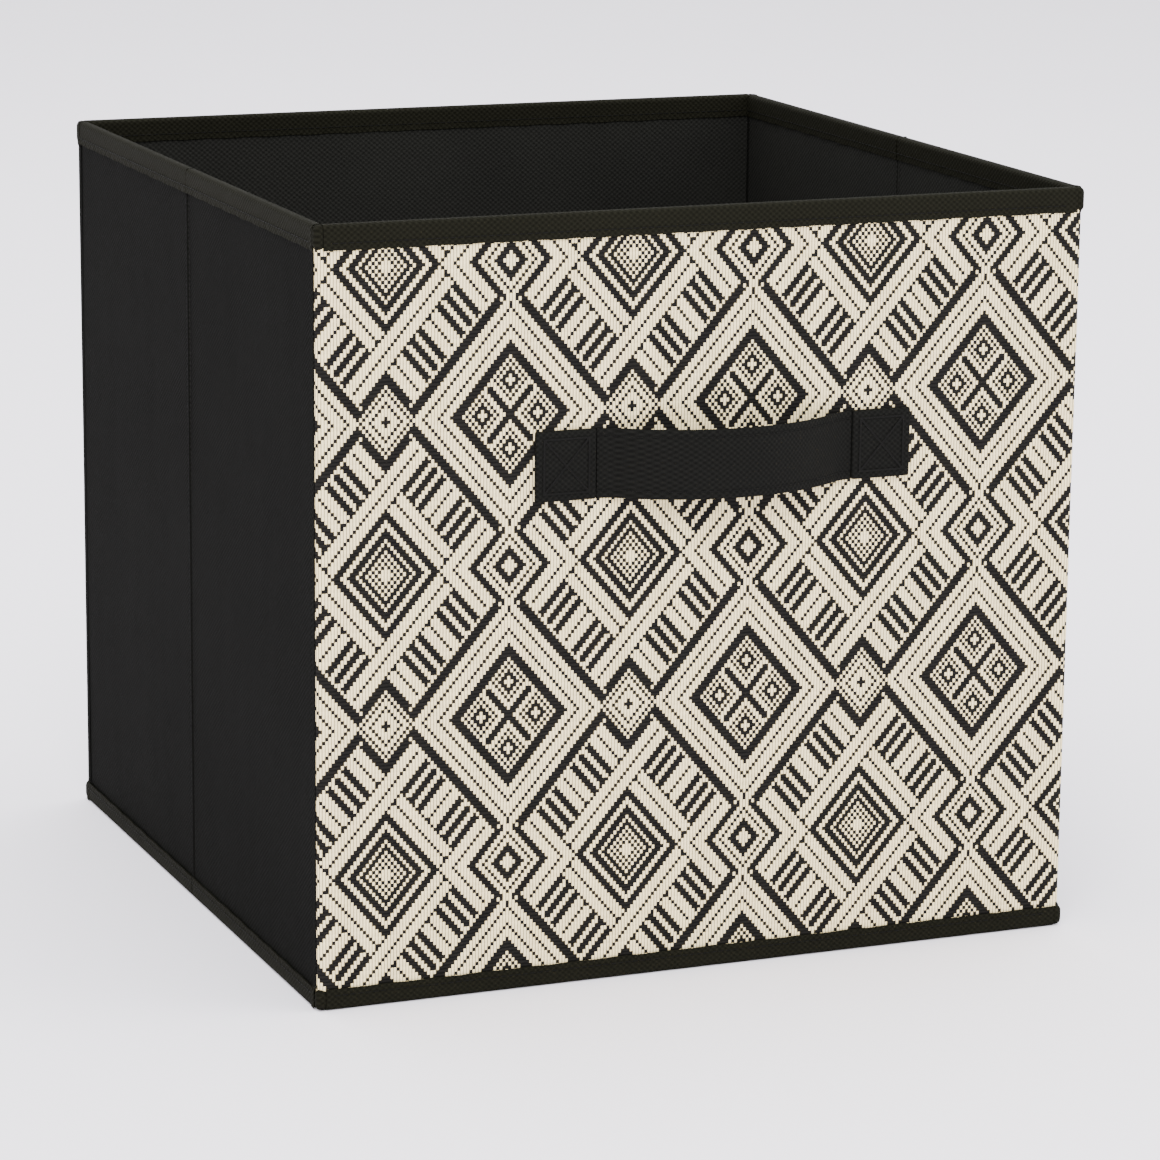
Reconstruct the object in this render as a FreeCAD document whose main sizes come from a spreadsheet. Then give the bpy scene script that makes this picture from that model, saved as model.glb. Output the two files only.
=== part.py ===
"""Foldable square storage bin: six stiffened fabric walls, bound edges, a soft base and a strap handle.

Millimetres, +Z up. The origin is the middle of the footprint, on the surface the bin stands on.
The patterned front faces -Y and carries the handle. The two side walls are each two leaves with a
crease between them, so that they fold inwards and the back comes up to the front.
"""
import FreeCAD, Part

import math
import os

from FreeCAD import Placement, Rotation, Vector

# ---------------------------------------------------------------- driving sizes

SIZES = {
    # overall, over the covers
    "width": 310,
    "depth": 310,
    "height": 295,
    # the layers of a wall, from outside to inside
    "jacquard": 0.9,
    "cover": 0.6,
    "board": 2.0,
    "lining": 0.5,
    # bound edges: the rim's tape folds over the top, the hem's runs round the foot and under the wall
    "rim_tape": 0.8,
    "rim_deep": 9.5,
    "hem_tape": 1.2,
    "hem_tall": 8.0,
    # folding: room beside every bound face, and the slit between two leaves at the crease
    "fold_room": 0.3,
    "crease_slit": 1.0,
    # soft base, three layers: the lowest lies on the ground inside the hem
    "base_cloth": 0.6,
    "base_felt": 2.0,
    "base_room": 0.4,
    # strap handle on the front
    "handle_offset": 6.0,
    "handle_rise": 201.0,
    "strap_wide": 26.5,
    "strap_thick": 1.6,
    "strap_span": 105.0,
    "strap_bow": 17.0,
    "strap_root_radius": 14.0,
    "strap_slit": 0.4,
    "patch_long": 24.0,
    "patch_thick": 2.4,
    "thread": 0.7,
    "thread_proud": 0.35,
    "stitch_margin": 3.0,
}

doc = FreeCAD.newDocument("storage_bin")
sheet = doc.addObject("Spreadsheet::Sheet", "Sizes")
for row, (alias, size) in enumerate(SIZES.items(), start=1):
    sheet.set(f"A{row}", alias)
    sheet.set(f"B{row}", str(size))
    sheet.setAlias(f"B{row}", alias)
doc.recompute()

# ---------------------------------------------------------------- what follows from them

FRONT_THICK = "(Sizes.jacquard + Sizes.board + Sizes.lining)"
WALL_THICK = "(Sizes.cover + Sizes.board + Sizes.lining)"
# a corner's axis stands off both inner faces by the rim's tape and the folding room
CORNER_ROOM = "(Sizes.rim_tape + Sizes.fold_room)"
# the crease is midway between the two corner axes, measured here from the front's outer face
CREASE_RUN = f"((Sizes.depth + {FRONT_THICK} - {WALL_THICK}) / 2)"
HALF_SLIT = "Sizes.crease_slit / 2"

TURNED = {"front": 0, "right": 90, "back": 180, "left": 270}
CORNER = {
    "front": ("-Sizes.width / 2", "-Sizes.depth / 2"),
    "right": ("Sizes.width / 2", "-Sizes.depth / 2"),
    "back": ("Sizes.width / 2", "Sizes.depth / 2"),
    "left": ("-Sizes.width / 2", "Sizes.depth / 2"),
}

sub_parts = []


def keep(piece, label):
    """Lists a finished sub-part under the name of its file."""
    piece.Label = label
    sub_parts.append(piece)
    return piece


def block(name, side, along, inward, up):
    """A block in a wall's own frame: along the wall, inwards from its outer face, and up.

    Each of the three is a pair of expressions: where the block starts, and where it ends.
    """
    box = doc.addObject("Part::Box", name)
    box.setExpression("Length", f"({along[1]}) - ({along[0]})")
    box.setExpression("Width", f"({inward[1]}) - ({inward[0]})")
    box.setExpression("Height", f"({up[1]}) - ({up[0]})")
    turn = math.radians(TURNED[side])
    run, cross = round(math.cos(turn)), round(math.sin(turn))
    corner_x, corner_y = CORNER[side]
    box.Placement = Placement(Vector(), Rotation(Vector(0, 0, 1), TURNED[side]))
    box.setExpression("Placement.Base.x", f"{corner_x} + ({run}) * ({along[0]}) - ({cross}) * ({inward[0]})")
    box.setExpression("Placement.Base.y", f"{corner_y} + ({cross}) * ({along[0]}) + ({run}) * ({inward[0]})")
    box.setExpression("Placement.Base.z", up[0])
    return box


def cut(name, whole, hollow):
    """What is left of one block after another is taken out of it."""
    piece = doc.addObject("Part::Cut", name)
    piece.Base = whole
    piece.Tool = hollow
    return piece


# ---------------------------------------------------------------- walls


def wall_layers(name, side, along, skin, skin_name, wrapped):
    """Board, outer cover and lining. On a wrapped wall the cover turns in over the board's two ends."""
    start, end = along
    up = ("Sizes.hem_tape", "Sizes.height - Sizes.rim_tape")
    board_along = (f"{start} + {skin}", f"{end} - {skin}") if wrapped else along
    board_inward = (skin, f"{skin} + Sizes.board")
    lining_inward = (board_inward[1], f"{board_inward[1]} + Sizes.lining")
    if wrapped:
        sleeve = block(f"{name}_sleeve", side, along, ("0", lining_inward[1]), up)
        filling = block(f"{name}_filling", side, board_along, (skin, lining_inward[1]), up)
        cover = cut(f"{name}_{skin_name}", sleeve, filling)
    else:
        cover = block(f"{name}_{skin_name}", side, along, ("0", skin), up)
    keep(cover, f"{name}_{skin_name}")
    keep(block(f"{name}_board", side, board_along, board_inward, up), f"{name}_board")
    keep(block(f"{name}_lining", side, board_along, lining_inward, up), f"{name}_lining")


def rim_binding(name, side, along, thick, capped):
    """Tape folded over the top edge. A capped one also closes over the wall's two ends."""
    start, end = along
    tape_along = (f"{start} - Sizes.rim_tape", f"{end} + Sizes.rim_tape") if capped else along
    tape = block(
        f"{name}_rim_tape",
        side,
        tape_along,
        ("-Sizes.rim_tape", f"{thick} + Sizes.rim_tape"),
        ("Sizes.height - Sizes.rim_deep", "Sizes.height"),
    )
    room = block(
        f"{name}_rim_room",
        side,
        along,
        ("0", thick),
        ("Sizes.height - Sizes.rim_deep", "Sizes.height - Sizes.rim_tape"),
    )
    keep(cut(f"{name}_rim_cut", tape, room), f"{name}_rim_binding")


def hem_binding(name, side, along, thick, capped):
    """Tape over the foot seam, outside the cover and under the wall: what the bin stands on."""
    start, end = along
    tape_along = (f"{start} - Sizes.hem_tape", f"{end} + Sizes.hem_tape") if capped else along
    tape = block(f"{name}_hem_tape", side, tape_along, ("-Sizes.hem_tape", thick), ("0", "Sizes.hem_tall"))
    room = block(f"{name}_hem_room", side, along, ("0", thick), ("Sizes.hem_tape", "Sizes.hem_tall"))
    keep(cut(f"{name}_hem_cut", tape, room), f"{name}_hem_binding")


WALLS = {
    "front": ("front", ("0", "Sizes.width"), "Sizes.jacquard", "jacquard", FRONT_THICK, True),
    "back": ("back", ("0", "Sizes.width"), "Sizes.cover", "cover", WALL_THICK, True),
    "right_front": (
        "right",
        (f"{FRONT_THICK} + {CORNER_ROOM}", f"{CREASE_RUN} - {HALF_SLIT}"),
        "Sizes.cover",
        "cover",
        WALL_THICK,
        False,
    ),
    "right_rear": (
        "right",
        (f"{CREASE_RUN} + {HALF_SLIT}", f"Sizes.depth - {WALL_THICK} - {CORNER_ROOM}"),
        "Sizes.cover",
        "cover",
        WALL_THICK,
        False,
    ),
    "left_rear": (
        "left",
        (f"{WALL_THICK} + {CORNER_ROOM}", f"Sizes.depth - {CREASE_RUN} - {HALF_SLIT}"),
        "Sizes.cover",
        "cover",
        WALL_THICK,
        False,
    ),
    "left_front": (
        "left",
        (f"Sizes.depth - {CREASE_RUN} + {HALF_SLIT}", f"Sizes.depth - {FRONT_THICK} - {CORNER_ROOM}"),
        "Sizes.cover",
        "cover",
        WALL_THICK,
        False,
    ),
}

for wall, (side, along, skin, skin_name, thick, whole) in WALLS.items():
    wall_layers(wall, side, along, skin, skin_name, whole)
    rim_binding(wall, side, along, thick, whole)
    hem_binding(wall, side, along, thick, whole)

# ---------------------------------------------------------------- soft base


def base_layer(name, bottom, top):
    """A sheet that fills the floor of the bin, with room to every wall."""
    across = (f"{WALL_THICK} + Sizes.base_room", f"Sizes.width - {WALL_THICK} - Sizes.base_room")
    deep = (f"{FRONT_THICK} + Sizes.base_room", f"Sizes.depth - {WALL_THICK} - Sizes.base_room")
    keep(block(name, "front", across, deep, (bottom, top)), name)


FELT_TOP = "Sizes.base_cloth + Sizes.base_felt"
base_layer("base_cloth", "0", "Sizes.base_cloth")
base_layer("base_felt", "Sizes.base_cloth", FELT_TOP)
base_layer("base_lining", FELT_TOP, f"{FELT_TOP} + Sizes.base_cloth")

# ---------------------------------------------------------------- handle

PATCH_LOW = "Sizes.handle_rise - Sizes.strap_wide / 2"
PATCH_HIGH = "Sizes.handle_rise + Sizes.strap_wide / 2"
HANDLE_MIDDLE = "Sizes.width / 2 + Sizes.handle_offset"
PATCH_STARTS = {
    "left": f"{HANDLE_MIDDLE} - Sizes.strap_span / 2 - Sizes.patch_long",
    "right": f"{HANDLE_MIDDLE} + Sizes.strap_span / 2",
}

for end, start in PATCH_STARTS.items():
    patch = block(
        f"handle_patch_{end}_block",
        "front",
        (start, f"{start} + Sizes.patch_long"),
        ("-Sizes.patch_thick", "0"),
        (PATCH_LOW, PATCH_HIGH),
    )
    keep(patch, f"handle_patch_{end}")


def box_stitching(end, start):
    """A square of thread with a cross in it, lying on the sewn end of the strap."""
    size = sheet.get
    left = size("handle_offset") + start
    low = size("handle_rise") - size("strap_wide") / 2
    margin, thread = size("stitch_margin"), size("thread")
    long, tall = size("patch_long") - 2 * margin, size("strap_wide") - 2 * margin
    face = -size("depth") / 2 - size("patch_thick")
    corner = Vector(left + margin, face, low + margin)

    def bar(length):
        lying = Part.makeBox(length + thread, size("thread_proud"), thread)
        lying.translate(Vector(-thread / 2, -size("thread_proud"), -thread / 2))
        return lying

    runs = []
    for foot, turn, length in (
        (Vector(0, 0, 0), 0, long),
        (Vector(0, 0, tall), 0, long),
        (Vector(0, 0, 0), 90, tall),
        (Vector(long, 0, 0), 90, tall),
        (Vector(0, 0, 0), math.degrees(math.atan2(tall, long)), math.hypot(long, tall)),
        (Vector(0, 0, tall), -math.degrees(math.atan2(tall, long)), math.hypot(long, tall)),
    ):
        run = bar(length)
        run.rotate(Vector(), Vector(0, -1, 0), turn)
        run.translate(corner + foot)
        runs.append(run)
    stitching = doc.addObject("Part::Feature", f"handle_stitching_{end}")
    stitching.Shape = runs[0].multiFuse(runs[1:]).removeSplitter()
    keep(stitching, f"handle_stitching_{end}")


box_stitching("left", -sheet.get("strap_span") / 2 - sheet.get("patch_long"))
box_stitching("right", sheet.get("strap_span") / 2)


def bowed_strap():
    """The free span: it leaves each patch flat, bends outwards on a small radius and bows on a large one.

    The two radii meet on a common tangent, so the angle there follows from the span and the bow.
    """
    size = sheet.get
    half_span = size("strap_span") / 2 - size("strap_slit")
    half_thick = size("strap_thick") / 2
    turn = 2 * math.atan(size("strap_bow") / half_span)
    root = size("strap_root_radius")
    bow = half_span / math.sin(turn) - root
    rests_at = half_thick

    def root_point(side, radius, angle):
        return Vector(side * (half_span - radius * math.sin(angle)), rests_at + root - radius * math.cos(angle), 0)

    def bow_point(radius, angle):
        return Vector(radius * math.sin(angle), rests_at + size("strap_bow") - bow + radius * math.cos(angle), 0)

    def face_line(offset):
        """One face of the strap, from the right end to the left, at an offset outwards from its middle."""
        ends = {}
        for side in (1, -1):
            points = [root_point(side, root - offset, angle) for angle in (0, turn / 2, turn)]
            ends[side] = points
        crown = [bow_point(bow + offset, angle) for angle in (turn, 0, -turn)]
        right = Part.Arc(*ends[1]).toShape()
        middle = Part.Arc(*crown).toShape()
        left = Part.Arc(ends[-1][2], ends[-1][1], ends[-1][0]).toShape()
        return [right, middle, left], ends[1][0], ends[-1][0]

    inner, inner_right, inner_left = face_line(-half_thick)
    outer, outer_right, outer_left = face_line(half_thick)
    closing = [Part.makeLine(inner_left, outer_left), Part.makeLine(outer_right, inner_right)]
    outline = Part.Wire(Part.__sortEdges__(inner + outer + closing))
    span = Part.Face(outline).extrude(Vector(0, 0, size("strap_wide")))
    strap = doc.addObject("Part::Feature", "handle_strap")
    strap.Shape = span.mirror(Vector(), Vector(0, 1, 0))
    foot = size("handle_rise") - size("strap_wide") / 2
    strap.Placement = Placement(Vector(size("handle_offset"), -size("depth") / 2, foot), Rotation())
    keep(strap, "handle_strap")


bowed_strap()

# ---------------------------------------------------------------- check and write

doc.recompute()
for piece in doc.Objects:
    faults = {"Invalid", "Error"} & set(piece.State)
    if faults:
        raise RuntimeError(f"{piece.Name} is {faults}")
for piece in sub_parts:
    if piece.Shape.isNull() or not piece.Shape.isValid() or not piece.Shape.Solids:
        raise RuntimeError(f"{piece.Label} has no sound shape")

os.makedirs("parts", exist_ok=True)
for piece in sub_parts:
    piece.Shape.exportStep(f"parts/{piece.Label}.step")
print(len(sub_parts), "sub-parts written")
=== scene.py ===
import math

import bpy
from mathutils import Matrix, Vector


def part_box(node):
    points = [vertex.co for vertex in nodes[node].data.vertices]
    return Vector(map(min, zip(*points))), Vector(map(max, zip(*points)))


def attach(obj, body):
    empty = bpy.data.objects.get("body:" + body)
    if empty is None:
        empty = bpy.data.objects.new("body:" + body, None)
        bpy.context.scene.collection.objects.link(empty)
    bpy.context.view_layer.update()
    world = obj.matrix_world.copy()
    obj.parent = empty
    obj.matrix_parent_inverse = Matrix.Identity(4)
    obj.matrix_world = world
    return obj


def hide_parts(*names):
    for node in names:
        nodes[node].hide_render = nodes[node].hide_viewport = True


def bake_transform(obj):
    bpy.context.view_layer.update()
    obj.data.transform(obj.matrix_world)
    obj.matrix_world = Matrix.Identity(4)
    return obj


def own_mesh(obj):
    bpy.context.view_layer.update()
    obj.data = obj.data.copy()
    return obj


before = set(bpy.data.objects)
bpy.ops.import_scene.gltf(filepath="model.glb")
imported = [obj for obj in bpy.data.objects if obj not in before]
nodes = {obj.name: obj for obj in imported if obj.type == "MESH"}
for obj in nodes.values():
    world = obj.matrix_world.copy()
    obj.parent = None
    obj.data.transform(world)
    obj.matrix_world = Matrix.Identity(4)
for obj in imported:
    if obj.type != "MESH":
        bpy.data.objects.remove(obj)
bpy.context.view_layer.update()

# ---------------------------------------------------------------- studio
# A pale lavender sweep of floor under soft light: one large lamp high in front of the left corner, a
# weaker one on the right, and a bright even room around them.

floor_size, floor_drop = 16.0, 0.0002


class Signal:
    """A number that changes over a surface. Sums on it add their Math nodes."""

    def __init__(self, finish, socket):
        self.finish, self.socket = finish, socket

    def maths(self, operation, *others):
        values = dict(enumerate((self, *others)))
        return self.finish.node("ShaderNodeMath", {"operation": operation}, values)

    def __add__(self, other):
        return self.maths("ADD", other)

    def __sub__(self, other):
        return self.maths("SUBTRACT", other)

    def __rsub__(self, other):
        return self * -1.0 + other

    def __mul__(self, other):
        return self.maths("MULTIPLY", other)

    __radd__, __rmul__ = __add__, __mul__


class Finish:
    """A material, built up from its own shader outwards."""

    def __init__(self, name, specular=0.05):
        self.material = bpy.data.materials.new(name)
        self.material.use_nodes = True
        self.tree = self.material.node_tree
        self.shader = self.tree.nodes["Principled BSDF"]
        self.shader.inputs["Specular IOR Level"].default_value = specular

    def node(self, kind, settings, values, output=0):
        made = self.tree.nodes.new(kind)
        for setting, choice in settings.items():
            setattr(made, setting, choice)
        for place, value in values.items():
            if isinstance(value, Signal):
                self.tree.links.new(value.socket, made.inputs[place])
            else:
                made.inputs[place].default_value = value
        return Signal(self, made.outputs[output])

    def places(self, source="Object"):
        point = self.node("ShaderNodeTexCoord", {}, {}, source)
        return [self.node("ShaderNodeSeparateXYZ", {}, {0: point}, axis) for axis in range(3)]

    def noise(self, scale, detail=2.0):
        point = self.node("ShaderNodeTexCoord", {}, {}, "Object")
        return self.node("ShaderNodeTexNoise", {}, {"Vector": point, "Scale": scale, "Detail": detail})

    def mixed(self, share, first, second):
        return self.node("ShaderNodeMix", {"data_type": "RGBA"}, {0: share, 6: first, 7: second}, 2)

    def wears(self, colour, roughness, height, depth, strength=1.0):
        self.tree.links.new(colour.socket, self.shader.inputs["Base Color"])
        self.tree.links.new(roughness.socket, self.shader.inputs["Roughness"])
        bump = self.node("ShaderNodeBump", {}, {"Strength": strength, "Distance": depth, "Height": height})
        self.tree.links.new(bump.socket, self.shader.inputs["Normal"])
        return self.material


def shade(level, tint=(1.0, 1.0, 1.0)):
    return (level * tint[0], level * tint[1], level * tint[2], 1.0)


bpy.ops.object.select_all(action="DESELECT")
bpy.ops.mesh.primitive_plane_add(size=floor_size, location=(0, 0, -floor_drop))
studio_floor = bpy.context.object
studio_floor.name = "studio_floor"
paper = Finish("floor_paper")
studio_floor.data.materials.append(
    paper.wears(
        paper.mixed(paper.noise(3.0), shade(0.92, (0.965, 0.935, 1.0)), shade(0.94, (0.965, 0.935, 1.0))),
        paper.noise(20.0) * 0.1 + 0.8,
        paper.noise(400.0),
        0.00005,
    )
)

room = bpy.data.worlds.new("room")
bpy.context.scene.world = room
room.use_nodes = True
room.node_tree.nodes["Background"].inputs["Color"].default_value = shade(1.0, (0.98, 0.98, 1.0))
room.node_tree.nodes["Background"].inputs["Strength"].default_value = 2.1

LAMPS = {
    "lamp_front": ((-1.4, -2.6, 2.6), 2.2, 150.0),
    "lamp_right": ((2.6, -1.2, 1.8), 2.0, 45.0),
    "lamp_top": ((0.2, 0.6, 3.0), 2.4, 105.0),
}
for lamp_name, (stands, wide, power) in LAMPS.items():
    bpy.ops.object.light_add(type="AREA", location=stands)
    lamp = bpy.context.object
    lamp.name = lamp_name
    lamp.data.size, lamp.data.energy = wide, power
    lamp.rotation_euler = (Vector((0, 0, 0.15)) - Vector(stands)).to_track_quat("-Z", "Y").to_euler()

looks_at = Vector((0.01151, 0.0, 0.11782))
turned, raised, roll = math.radians(-22.2), math.radians(13.073), math.radians(0.562)
stands_off, focal_length = 1.8527, 139.86
back = Vector((math.sin(turned) * math.cos(raised), -math.cos(turned) * math.cos(raised), math.sin(raised)))
right = (-back).cross(Vector((0, 0, 1))).normalized()
up = right.cross(-back)
camera = bpy.data.objects.new("camera", bpy.data.cameras.new("camera"))
bpy.context.scene.collection.objects.link(camera)
camera.data.lens = focal_length
camera.data.sensor_width = 36.0
level = math.cos(roll) * right + math.sin(roll) * up
upright = -math.sin(roll) * right + math.cos(roll) * up
camera.matrix_world = Matrix.Translation(looks_at + back * stands_off) @ Matrix(
    (level, upright, back)
).transposed().to_4x4()
bpy.context.scene.camera = camera

# ---------------------------------------------------------------- front
# The front is a stiff double-woven jacquard: cream warp threads float over a black ground in counted
# steps and draw a lattice of diamonds. It is stretched over a board and turned round both its ends.

MM = 0.001
half_wide = 155.0
corner_round = 2.2
turn_in = 1.6
thread_wide, thread_tall = 1.213, 1.429
diamond_middle, diamond_rise = 16.95, 107.2
repeat = 80
columns_left, columns_right = 144, 116
rows_below, rows_above = 71, 126
thread_lift = 0.14
SIDES = {"front": 0, "right": 90, "back": 180, "left": 270}


def on_wall(side, along, out, rise):
    """A point in metres on a wall: along it, out from the middle of the bin, and up."""
    turn = math.radians(SIDES[side])
    cos, sin = round(math.cos(turn)), round(math.sin(turn))
    return Vector((cos * along + sin * out, sin * along - cos * out, rise)) * MM


def round_ends(along, out, corner_round):
    """Carries a cloth round the two ends of its wall: along, out."""
    flat = half_wide - corner_round
    past = abs(along) - flat
    if past <= 0:
        return along, out
    bent = min(past / corner_round, math.pi / 2)
    straight = max(0.0, past - corner_round * math.pi / 2)
    along = math.copysign(flat + corner_round * math.sin(bent), along)
    return along, out - corner_round * (1 - math.cos(bent)) - straight


def cloth(name, across, tall, place, thick=0.0):
    """A cloth of across by tall squares, each corner laid at place(u, v), with its thickness behind."""
    bpy.ops.object.select_all(action="DESELECT")
    bpy.ops.mesh.primitive_grid_add(x_subdivisions=across, y_subdivisions=tall, size=1)
    piece = bpy.context.object
    piece.name = piece.data.name = name
    for vertex in piece.data.vertices:
        vertex.co = place(vertex.co.x + 0.5, vertex.co.y + 0.5)
    if thick:
        bpy.ops.object.modifier_add(type="SOLIDIFY")
        piece.modifiers[-1].thickness = thick * MM
        piece.modifiers[-1].offset = -1
        bpy.ops.object.modifier_apply(modifier=piece.modifiers[-1].name)
    bpy.ops.object.shade_smooth_by_angle(angle=math.radians(50))
    return piece


def is_cream(column, row):
    """Whether the cream warp lies on top, counted from the middle of a large diamond."""
    across = (column + repeat // 2) % repeat - repeat // 2
    up = (row + repeat // 2) % repeat - repeat // 2
    p, r = abs(across), abs(up)
    large = p + r
    side, above = 40 - p + r, 40 + p - r
    if side <= 9:
        return side not in (0, 1, 5, 8)
    if above <= 10:
        return above not in (3, 4, 5, 8)
    if large <= 36:
        if (p, r) == (0, 29):
            return False
        if (p, r) == (3, 30):
            return True
        if large == 36:
            return not (side == 10 or above == 12)
        if large <= 14 and abs(p - r) <= 1:
            return False
        if large <= 15:
            return min(abs(p - 9) + r, p + abs(r - 9)) not in (2, 3, 5)
        return large not in (16, 17, 18, 19, 23, 28, 32, 33, 34, 35)
    ring = min(side, above)
    if ring <= 13:
        return False
    if large >= 63:
        return repeat - large not in (3, 5, 7, 8, 10, 11, 12, 15, 16, 17)
    strand_over = side < above and across * up < 0
    if large >= 53:
        if ring <= 23 and not strand_over:
            return ring not in (18, 23)
        return large not in (53, 58)
    return ring not in (18, 23, 24, 25, 28, 29, 30, 33, 34, 35, 40)


columns, rows = columns_left + 1 + columns_right, rows_below + 1 + rows_above
reach = half_wide - corner_round + corner_round * math.pi / 2 + turn_in
cream = [[is_cream(c - columns_left, r - rows_below) for r in range(rows)] for c in range(columns)]


def lay_jacquard(u, v):
    column, row = round(u * columns), round(v * rows)
    along = diamond_middle + (column - columns_left - 0.5) * thread_wide
    along = max(-reach, min(reach, along))
    rise = diamond_rise + (row - rows_below - 0.5) * thread_tall
    around = [
        cream[c][r]
        for c in (column - 1, column)
        for r in (row - 1, row)
        if 0 <= c < columns and 0 <= r < rows
    ]
    slack = 0.12 * math.sin(along * 0.045 + 0.8) * math.sin(rise * 0.03)
    out = half_wide + thread_lift * sum(around) / len(around) + slack
    along, out = round_ends(along, out, corner_round)
    return on_wall("front", along, out, rise)


jacquard = cloth("front_weave", columns, rows, lay_jacquard)
threads = jacquard.data.color_attributes.new(name="threads", type="FLOAT_COLOR", domain="CORNER")
tones = []
for face in jacquard.data.polygons:
    row, column = divmod(face.index, columns)
    tone = 0.5 + 0.25 * math.sin(column * 12.9898) + 0.25 * math.sin(row * 78.233)
    tones += [float(cream[column][row]), tone, 0.0, 1.0] * len(face.vertices)
threads.data.foreach_set("color", tones)
bpy.ops.object.mode_set(mode="EDIT")
bpy.ops.mesh.select_all(action="DESELECT")
bpy.ops.mesh.select_mode(type="EDGE")
bpy.ops.mesh.select_non_manifold()
bpy.ops.mesh.extrude_edges_move(TRANSFORM_OT_translate={"value": (0, 0.5 * MM, 0)})
bpy.ops.object.mode_set(mode="OBJECT")

weave = Finish("jacquard_weave")
thread_kind = weave.node("ShaderNodeAttribute", {"attribute_name": "threads"}, {}, "Color")
is_warp, tone = [weave.node("ShaderNodeSeparateColor", {}, {0: thread_kind}, band) for band in (0, 1)]
count_across, count_up, _ = weave.places("UV")
warp_round = (count_across * (columns * math.pi)).maths("SINE")
warp_round = warp_round.maths("ABSOLUTE")
rib_round = (count_up * (rows * math.pi)).maths("SINE")
rib_round = rib_round.maths("ABSOLUTE")
# painted shade: the cream warp is painted dark tan in the gaps between its threads, mixed with random
# thread tone
painted_gap_shade = (warp_round * 1.7).maths("MINIMUM", 1.0)
cream_with_painted_gap_shade = weave.mixed(
    painted_gap_shade * 0.85 + tone * 0.15, shade(0.10, (1, 0.72, 0.40)), shade(1.0, (1, 0.835, 0.47))
)
# painted highlight and shade: the black ground is painted charcoal brown on its rib crowns and near-black
# in the rib dips, mixed with random thread tone
ground_with_painted_rib_light = weave.mixed(rib_round * 0.7 + tone * 0.3, shade(0.002), shade(0.012, (1.0, 0.92, 0.82)))
front_finish = weave.wears(
    weave.mixed(is_warp, ground_with_painted_rib_light, cream_with_painted_gap_shade),
    0.82 - is_warp * 0.12,
    is_warp * (warp_round * 0.8 + rib_round * 0.2) + (1 - is_warp) * rib_round * 0.45,
    0.00035,
)
jacquard.data.materials.append(front_finish)
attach(jacquard, "front")
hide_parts("front_jacquard")

# ---------------------------------------------------------------- side and back covers
# Black spunbond nonwoven, bonded in small staggered dots, 0.6 mm thick. One length covers each side and
# is stitched through at the crease, where it folds. It lies over the boards with faint upright wrinkles.

cover_low, cover_high = 3.0, 290.0
cover_thick = 0.5
crease_at, crease_deep, crease_wide = 0.15, 0.25, 1.6
pinch_flat, pinch_edge, pinch_zone, crease_ridge = 0.36, 0.52, 0.6, 155.5
SIDE_RUN = {"right": (-150.5, 150.8), "left": (-150.8, 150.5)}


def nonwoven(name, level, tint, dot_wide, dot_tall, deep, specular=0.05):
    """Black nonwoven with bonding dots in staggered rows and short fibres between them."""
    felted = Finish(name, specular)
    x, y, z = felted.places()
    across = ((x + y) * (2 * math.pi / (dot_wide * MM))).maths("COSINE")
    upward = (z * (2 * math.pi / (dot_tall * MM))).maths("COSINE")
    dots = (across * upward) * 0.5 + 0.5
    fibre, patch = felted.noise(1400.0, 3.0), felted.noise(22.0)
    colour = felted.mixed(
        fibre * 0.35 + dots * 0.45 + patch * 0.2, shade(level * 0.25, tint), shade(level * 2.1, tint)
    )
    return felted.wears(colour, 0.95 - dots * 0.18 - fibre * 0.1, dots * 0.6 + fibre * 0.7, deep)


cover_finish = nonwoven("cover_nonwoven", 0.0046, (1.0, 1.0, 0.90), 2.5, 2.1, 0.00022, 0.01)


def wrinkle(along, rise):
    """How far a cover stands off its board, mostly in upright waves, in millimetres."""
    waves = 0.09 * math.sin(along * 0.083 + 1.3 * math.sin(rise * 0.019 + along * 0.01))
    fading = math.sin(rise * 0.021 + along * 0.05)
    waves += 0.04 * math.sin(along * 0.29 + 1.7 + 2.0 * math.sin(rise * 0.023)) * fading
    return waves + 0.05 * math.sin(rise * 0.05 + along * 0.02)


def crease(along, side):
    away = along - (crease_at if side == "right" else -crease_at)
    return crease_deep * math.exp(-((away / crease_wide) ** 2))


def side_along(u, side):
    """Where a side's column lies along it: a tenth of the columns is kept for the crease."""
    start, end = SIDE_RUN[side]
    middle = crease_at if side == "right" else -crease_at
    if u < 0.45:
        return start + (middle - pinch_zone - start) * u / 0.45
    if u > 0.55:
        return end - (end - middle - pinch_zone) * (1 - u) / 0.45
    return middle + pinch_zone * (u - 0.5) / 0.05


def pinched(out, along, side, ridge):
    """The stitched crease draws every layer together between the two boards, near the line it folds on."""
    away = abs(along - (crease_at if side == "right" else -crease_at))
    share = max(0.0, min(1.0, (pinch_edge - away) / (pinch_edge - pinch_flat)))
    return out + (ridge - out) * share


def bends_at_crease(piece):
    """Bakes a side's cloth, already laid through its crease, into its mesh where it stands."""
    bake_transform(piece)


for side in ("left", "right"):
    start, end = SIDE_RUN[side]

    def lay_side(u, v):
        along, rise = side_along(u, side), cover_low + (cover_high - cover_low) * v
        out = half_wide + wrinkle(along, rise) - crease(along, side)
        return on_wall(side, along, pinched(out, along, side, crease_ridge), rise)

    cover = cloth(f"{side}_cover_cloth", 180, 60, lay_side, cover_thick)
    cover.data.materials.append(cover_finish)
    bends_at_crease(cover)
    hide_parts(f"{side}_front_cover", f"{side}_rear_cover")


back_round, corner_run = 1.0, 6.0
back_reach = half_wide - back_round + back_round * math.pi / 2 + turn_in


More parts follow.
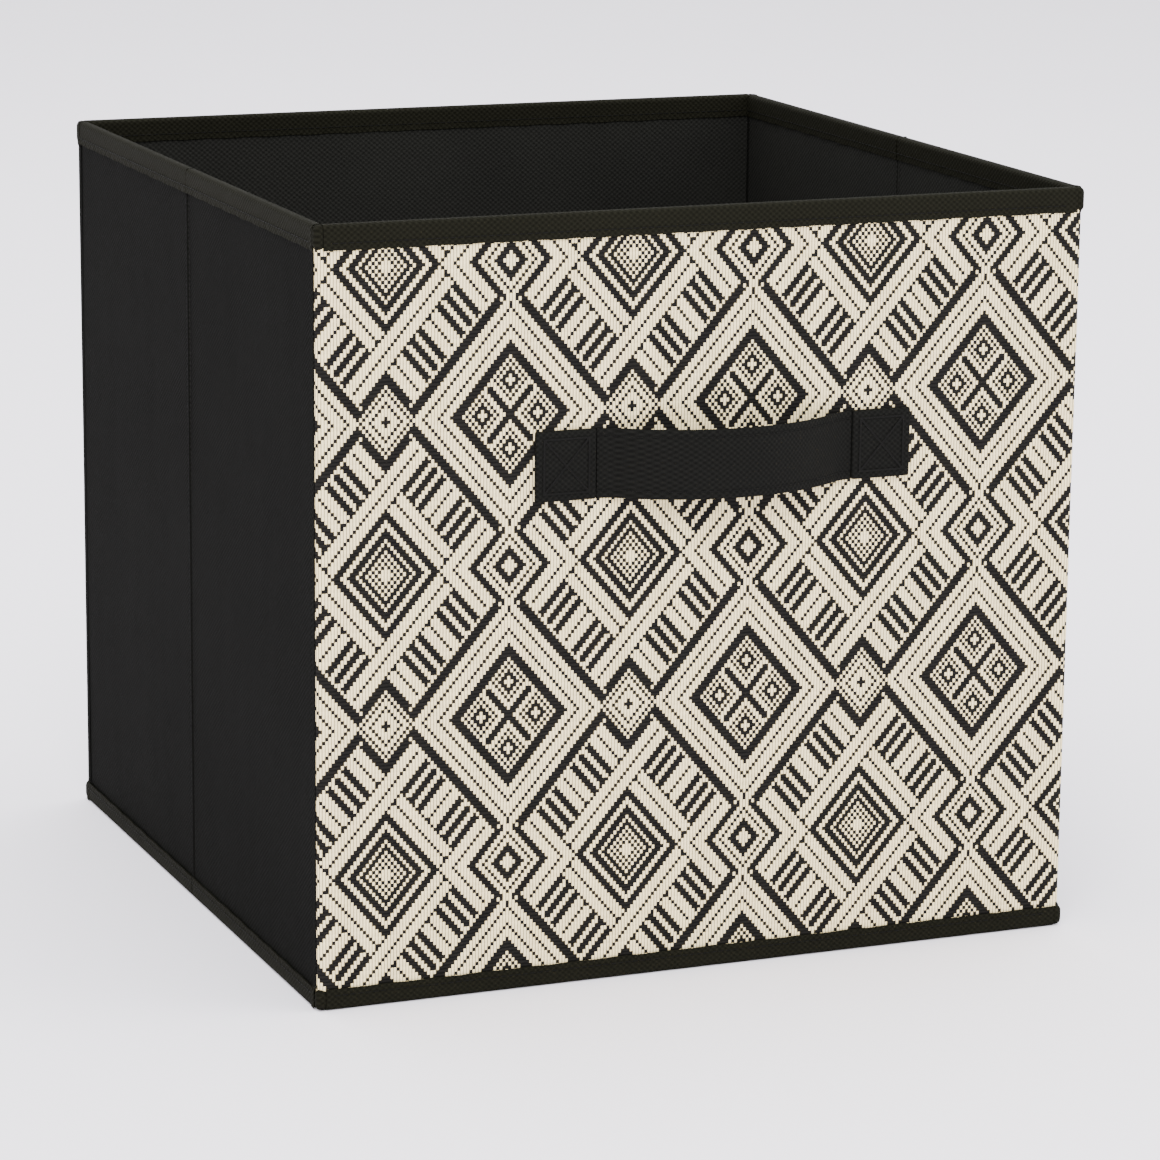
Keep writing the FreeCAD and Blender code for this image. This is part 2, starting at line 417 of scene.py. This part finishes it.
def lay_back(u, v):
    rise = cover_low + (cover_high - cover_low) * v
    from_end = min(u, 1 - u)
    if from_end < 0.1:
        run = corner_run * from_end / 0.1
    else:
        run = corner_run + (back_reach - corner_run) * (from_end - 0.1) / 0.4
    along = (back_reach - run) * (1 if u > 0.5 else -1)
    along, out = round_ends(along, half_wide + wrinkle(along, rise), back_round)
    return on_wall("back", along, out, rise)


back_cover = cloth("back_cover_cloth", 180, 60, lay_back, cover_thick)
back_cover.data.materials.append(cover_finish)
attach(back_cover, "back")
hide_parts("back_cover")

# ---------------------------------------------------------------- lining
# The inside is the same nonwoven with the same bonding dots, lighter in weight. It is caught under the
# rim tape at the top and in the base seam at the foot, and dips between the boards at the creases.

lining_low, lining_high, lining_thick = 3.0, 290.0, 0.4
LINING_OUT = {"front": 151.6, "back": 151.9, "left": 151.9, "right": 151.9}
lining_finish = nonwoven("lining_nonwoven", 0.0085, (1.0, 1.0, 0.88), 2.5, 2.1, 0.0003)

for side, out_to in LINING_OUT.items():
    start, end = SIDE_RUN.get(side, (-151.6, 151.6))

    def lay_lining(u, v):
        rise = lining_low + (lining_high - lining_low) * v
        along = side_along(1 - u, side) if side in SIDE_RUN else end - (end - start) * u
        out = out_to - 0.7 * wrinkle(along, rise) - 0.15
        if side in SIDE_RUN:
            out = pinched(out, along, side, crease_ridge - 0.9)
        return on_wall(side, along, out, rise)

    lining = cloth(f"{side}_lining_cloth", 160, 50, lay_lining, lining_thick)
    lining.data.materials.append(lining_finish)
    if side in SIDE_RUN:
        leaves = [f"{side}_front", f"{side}_rear"]
        bends_at_crease(lining)
    else:
        leaves = [side]
        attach(lining, side)
    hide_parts(*[f"{leaf}_lining" for leaf in leaves])

# ---------------------------------------------------------------- rim and hem tape
# Olive-black tape, folded over the top edge and round the foot. One stitch line holds each, drawing the
# tape in a little, so its free edge ripples between the stitches.

rim_top, rim_low, rim_out = 295.0, 285.5, 155.75
hem_top, hem_foot, hem_in, hem_out = 8.0, 0.05, 153.0, 156.15
tape_thick, ripple_high, stitch_draw, tape_apart = 0.6, 0.10, 0.06, 0.8
RIM_IN = {"front": 150.85, "back": 151.15, "left": 151.15, "right": 151.15}
tape_finish = nonwoven("edge_tape", 0.0058, (1.0, 0.98, 0.62), 2.5, 2.1, 0.00032, 0.03)


def along_path(path, v):
    """The point a share v of the way along a bent path, as out and up."""
    lengths = [math.dist(a, b) for a, b in zip(path, path[1:])]
    left = v * sum(lengths)
    for (first, last), length in zip(zip(path, path[1:]), lengths):
        if left <= length or last == path[-1]:
            share = min(1.0, left / length)
            return [a + (b - a) * share for a, b in zip(first, last)]
        left -= length


def ripple(along, strength):
    return strength * (math.sin(along * 1.05 + math.sin(along * 0.21)) + 0.6 * math.sin(along * 0.37))


def edge_tape(name, side, path, joined, suffix, tall):
    """Tape laid along one wall. The path is its section; the tape ripples at the section's two ends."""
    start, end = SIDE_RUN.get(side, (-152.4, 152.4))
    path_length = sum(math.dist(a, b) for a, b in zip(path, path[1:]))

    def lay_tape(u, v):
        along = side_along(u, side) if side in SIDE_RUN else start + (end - start) * u
        out, rise = along_path(path, v)
        free = max(0.0, 1 - min(v, 1 - v) * path_length / 3.0)
        middle = sum(point[0] for point in path) / len(path)
        away = 1 if out > middle else -1
        out += away * (ripple(along, ripple_high) * free - stitch_draw * (1 - free))
        rise += 0.12 * math.sin(along * 0.33) * free
        if side in SIDE_RUN:
            out = pinched(out, along, side, crease_ridge + (0.1 if away > 0 else 0.1 - tape_apart))
        return on_wall(side, along, out, rise)

    tape = cloth(name, 300, tall, lay_tape, tape_thick)
    tape.data.materials.append(tape_finish)
    if side in SIDE_RUN:
        bends_at_crease(tape)
    else:
        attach(tape, side)
    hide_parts(*[f"{leaf}_{suffix}" for leaf in joined])


for side in SIDES:
    joined = [f"{side}_front", f"{side}_rear"] if side in SIDE_RUN else [side]
    rim_in = RIM_IN[side]
    rim_path = [
        (rim_out, rim_low), (rim_out, rim_top - 1.3), (rim_out - 0.4, rim_top - 0.4),
        (rim_out - 1.3, rim_top), (rim_in + 1.3, rim_top), (rim_in + 0.4, rim_top - 0.4),
        (rim_in, rim_top - 1.3), (rim_in, rim_low),
    ]
    edge_tape(f"{side}_rim_tape", side, rim_path, joined, "rim_binding", 48)
    hem_path = [
        (hem_in, hem_foot), (hem_out - 1.0, hem_foot), (hem_out - 0.2, 0.5), (hem_out, 1.4),
        (hem_out, hem_top),
    ]
    edge_tape(f"{side}_hem_tape", side, hem_path, joined, "hem_binding", 30)

# ---------------------------------------------------------------- corners
# At each corner the rim and hem tape turn over the end of the front or back wall in a folded block, and
# a narrow seam allowance joins that wall to the side from the foot up over the rim and down inside.


def folded_block(name, low, high, soft, puff, body, finish):
    """A block of folded cloth with soft edges and slightly full faces."""
    bpy.ops.object.select_all(action="DESELECT")
    bpy.ops.mesh.primitive_cube_add(size=1, location=(low + high) / 2, scale=high - low)
    piece = bpy.context.object
    piece.name = piece.data.name = name
    bpy.ops.object.transform_apply(location=True, rotation=True, scale=True)
    bpy.ops.object.modifier_add(type="BEVEL")
    piece.modifiers[-1].width, piece.modifiers[-1].segments = soft * MM, 4
    bpy.ops.object.modifier_apply(modifier=piece.modifiers[-1].name)
    bpy.ops.object.mode_set(mode="EDIT")
    bpy.ops.mesh.select_all(action="SELECT")
    bpy.ops.mesh.subdivide(number_cuts=3)
    bpy.ops.object.mode_set(mode="OBJECT")
    middle, half = (low + high) / 2, (high - low) / 2
    for vertex in piece.data.vertices:
        part = [(vertex.co[axis] - middle[axis]) / half[axis] for axis in range(3)]
        flat_axis = max(range(3), key=lambda axis: abs(part[axis]))
        others = [1 - part[axis] ** 2 for axis in range(3) if axis != flat_axis]
        fullness = math.copysign(puff * MM, part[flat_axis])
        vertex.co[flat_axis] += fullness * max(0, others[0]) * max(0, others[1])
    bpy.ops.object.shade_smooth_by_angle(angle=math.radians(60))
    piece.data.materials.append(finish)
    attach(piece, body)
    return piece


for wall, depth_sign in (("front", -1), ("back", 1)):
    inner = RIM_IN[wall]
    for hand, width_sign in (("left", -1), ("right", 1)):
        for level_name, low_z, high_z, out_to in (
            ("rim", rim_low, rim_top, rim_out), ("hem", hem_foot, hem_top, hem_out),
        ):
            reach_in = inner if level_name == "rim" else 151.8
            xs = sorted((width_sign * 151.4, width_sign * out_to))
            ys = sorted((depth_sign * reach_in, depth_sign * out_to))
            folded_block(
                f"{wall}_{hand}_{level_name}_corner",
                Vector((xs[0], ys[0], low_z)) * MM, Vector((xs[1], ys[1], high_z)) * MM,
                2.2, 0.05, wall, tape_finish,
            )

seam_path = [
    (156.22, 0.3), (156.22, 8.0), (155.30, 8.5), (155.30, 285.1), (155.85, 285.5), (155.85, 294.3),
    (155.1, 295.06), (151.8, 295.06), (151.05, 294.3), (151.05, 285.5), (151.65, 285.1), (151.65, 3.4),
]
CORNERS = {
    "front_left_seam": ("left", 1, "front", "left_front"),
    "front_right_seam": ("right", -1, "front", "right_front"),
    "back_left_seam": ("left", -1, "back", "left_rear"),
    "back_right_seam": ("right", 1, "back", None),
}
for seam_name, (side, end_sign, wall, leaf) in CORNERS.items():
    # the seam lies across the slit between the wall and the end of the side
    leaf_end = 150.5 if wall == "front" else 150.8

    def lay_seam(u, v):
        out, rise = along_path(seam_path, v)
        outside = out > 153.5
        over = leaf_end + (1.9 if outside else (0.35 if rise > 285.3 else 1.1))
        under = leaf_end - 1.2
        share = u if end_sign > 0 else 1 - u
        crown = 0.06 * math.sin(math.pi * u) * (1 if outside else -1)
        return on_wall(side, end_sign * (under + (over - under) * share), out + crown, rise)

    seam = cloth(seam_name, 8, 420, lay_seam, 0.25)
    seam.data.materials.append(cover_finish)
    seam.data.materials.append(tape_finish)
    for face in seam.data.polygons:
        face.material_index = int(not 8.3 * MM < face.center.z < 285.2 * MM)
    if leaf:
        depth_sign = -1 if wall == "front" else 1
        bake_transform(seam)
    else:
        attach(seam, wall)

# ---------------------------------------------------------------- stitches
# Lockstitch in olive-black thread, three millimetres a stitch: one row along each face of the rim tape,
# one along the hem and two beside each crease.

stitch_pitch, stitch_long, stitch_thick = 3.0, 2.2, 0.42
thread_work = Finish("sewing_thread")
twist_x, twist_y, twist_z = thread_work.places()
twist = ((twist_x + twist_y + twist_z) * (2 * math.pi / (0.5 * MM))).maths("SINE")
thread_finish = thread_work.wears(
    thread_work.mixed(twist * 0.25 + 0.5, shade(0.003), shade(0.010, (1, 0.96, 0.86))),
    twist * 0.05 + 0.6, twist, 0.00008,
)


def stitches(name, first, last, out_way):
    """A row of stitches from first to last, in metres, lying on the face that looks out_way."""
    run = (last - first).normalized()
    bpy.ops.object.select_all(action="DESELECT")
    bpy.ops.mesh.primitive_cylinder_add(vertices=6, radius=stitch_thick / 2 * MM, depth=stitch_long * MM)
    row = bpy.context.object
    row.name = row.data.name = name
    bpy.ops.object.mode_set(mode="EDIT")
    bpy.ops.mesh.select_all(action="SELECT")
    bpy.ops.mesh.bevel(offset=stitch_thick * 0.2 * MM, segments=1)
    bpy.ops.object.mode_set(mode="OBJECT")
    lie = Matrix((out_way.cross(run), out_way, run)).transposed().to_4x4()
    row.data.transform(Matrix.Translation(first) @ lie)
    bpy.ops.object.modifier_add(type="ARRAY")
    repeat_row = row.modifiers[-1]
    repeat_row.use_relative_offset, repeat_row.use_constant_offset = False, True
    repeat_row.constant_offset_displace = run * stitch_pitch * MM
    repeat_row.count = int((last - first).length / (stitch_pitch * MM)) + 1
    bpy.ops.object.modifier_apply(modifier=repeat_row.name)
    row.data.materials.append(thread_finish)
    return row


for side in SIDES:
    turn = math.radians(SIDES[side])
    outward = Vector((math.sin(turn), -math.cos(turn), 0))
    start, end = SIDE_RUN.get(side, (-150.0, 150.0))
    for row_name, out, rise, way in (
        ("rim_stitches", rim_out + 0.02, 288.2, outward),
        ("rim_inner_stitches", RIM_IN[side] - 0.02, 288.2, -outward),
        ("hem_stitches", hem_out + 0.02, 5.6, outward),
    ):
        if side not in SIDE_RUN:
            runs = {side: (start + 2, end - 2)}
        elif side == "right":
            runs = {"right_front": (start + 2, -1.2), "right_rear": (1.8, end - 2)}
        else:
            runs = {"left_front": (1.2, end - 2), "left_rear": (start + 2, -1.8)}
        for leaf, (first, last) in runs.items():
            begins, ends = on_wall(side, first, out, rise), on_wall(side, last, out, rise)
            row = stitches(f"{leaf}_{row_name}", begins, ends, way)
            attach(row, leaf)
    if side in SIDE_RUN:
        for leaf, beside in (("front", -2.2), ("rear", 2.2)):
            for face, out, way in (("outer", half_wide - 0.05, outward), ("inner", 151.85, -outward)):
                along = (crease_at + beside) * (1 if side == "right" else -1)
                row = stitches(f"{side}_{leaf}_{face}_crease_stitches", on_wall(side, along, out, 12.0),
                               on_wall(side, along, out, 282.0), way)
                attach(row, f"{side}_{leaf}")

# ---------------------------------------------------------------- base
# Three soft layers: a lining, a felt that gives body, and a ground cloth. Nothing stiff lies in them, so
# they crumple up against the front as the bin folds.

felt_finish = nonwoven("base_felt_wool", 0.12, (1.0, 1.0, 1.0), 3.0, 3.0, 0.0002)
for layer, finish, slot_name, sag in (
    ("base_lining", lining_finish, "lining", 0.25), ("base_felt", felt_finish, "felt", 0.0),
    ("base_cloth", cover_finish, "cover", 0.0),
):
    low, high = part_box(layer)

    def lay_base(u, v):
        soft = sag * MM * (math.sin(u * 23.0) * math.sin(v * 19.0) - 1) * 0.5
        return Vector((low.x + (high.x - low.x) * u, low.y + (high.y - low.y) * v, high.z + soft))

    laid = cloth(f"{layer}_sheet", 60, 60, lay_base, (high.z - low.z) / MM * 0.9)
    laid.data.materials.append(finish)
    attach(laid, "front")
    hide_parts(layer)
    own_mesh(laid)

# ---------------------------------------------------------------- handle
# A folded strap of the cover's nonwoven, edge-stitched three millimetres in. Its two ends are sewn flat
# to the front with a box and cross, and the free span between them bows out.

strap_middle, strap_rise, strap_wide, strap_thick = 6.0, 201.0, 26.5, 1.6
half_span, strap_bow, root_radius, edge_margin = 52.1, 17.0, 14.0, 3.0
strap_turn = 2 * math.atan(strap_bow / half_span)
bow_radius = half_span / math.sin(strap_turn) - root_radius
bow_run, root_run = bow_radius * strap_turn, root_radius * strap_turn
strap_finish = nonwoven("strap_nonwoven", 0.0040, (1.0, 1.0, 0.86), 2.5, 2.1, 0.0003)


def on_strap(run, rise, height):
    """A point of the strap: run along it from its middle, rise from its centre line, height above it."""
    hand = math.copysign(1, run)
    if abs(run) <= bow_run:
        bend = run / bow_radius
        x, out = bow_radius * math.sin(bend), strap_bow - bow_radius * (1 - math.cos(bend))
        tilt = bend
    else:
        bend = strap_turn - (abs(run) - bow_run) / root_radius
        x, out = hand * (half_span - root_radius * math.sin(bend)), root_radius * (1 - math.cos(bend))
        tilt = hand * bend
    x, out = x + height * math.sin(tilt), out + strap_thick / 2 + height * math.cos(tilt)
    return on_wall("front", strap_middle + x, half_wide + out, strap_rise + rise)


def lay_strap(u, v):
    run, rise = (2 * u - 1) * (bow_run + root_run), (v - 0.5) * strap_wide
    inset = strap_wide / 2 - abs(rise)
    stitched_in = 0.18 * math.exp(-(((inset - edge_margin) / 0.7) ** 2))
    height = strap_thick / 2 - 0.3 * math.exp(-inset / 0.6) - stitched_in
    return on_strap(run, rise, height + 0.05 * math.sin(run * 0.9) * math.exp(-inset / 3))


strap = cloth("handle_strap_cloth", 96, 40, lay_strap, strap_thick * 0.9)
strap.data.materials.append(strap_finish)
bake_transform(strap)
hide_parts("handle_strap")

for edge_name, edge in (("lower", -1), ("upper", 1)):
    row_start = -(bow_run + root_run) + 1.5
    row = stitches(
        f"handle_{edge_name}_stitches",
        Vector((row_start, 0, 0)) * MM, Vector((-row_start, 0, 0)) * MM, Vector((0, 0, 1)),
    )
    for vertex in row.data.vertices:
        run, across, height = vertex.co / MM
        off_middle = edge * (strap_wide / 2 - edge_margin) + across
        vertex.co = on_strap(run, off_middle, strap_thick / 2 - 0.1 + height)
    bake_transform(row)

for hand in ("left", "right"):
    low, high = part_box(f"handle_patch_{hand}")
    patch = folded_block(f"handle_patch_{hand}_cloth", low, high, 0.7, 0.08, "front", strap_finish)
    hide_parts(f"handle_patch_{hand}")
    nodes[f"handle_stitching_{hand}"].data.materials.clear()
    nodes[f"handle_stitching_{hand}"].data.materials.append(thread_finish)

# ---------------------------------------------------------------- boards
# Grey pulp board, 2 mm, sewn in between cover and lining. It shows nowhere unless a seam is opened.

card = Finish("grey_board")
card_finish = card.wears(
    card.mixed(card.noise(500.0, 4.0), shade(0.20, (1, 0.97, 0.90)), shade(0.34, (1, 0.97, 0.90))),
    card.noise(80.0) * 0.1 + 0.85, card.noise(900.0), 0.00006,
)
for leaf in ("front", "back", "left_front", "left_rear", "right_front", "right_rear"):
    board = nodes[f"{leaf}_board"]
    board.data.materials.clear()
    board.data.materials.append(card_finish)
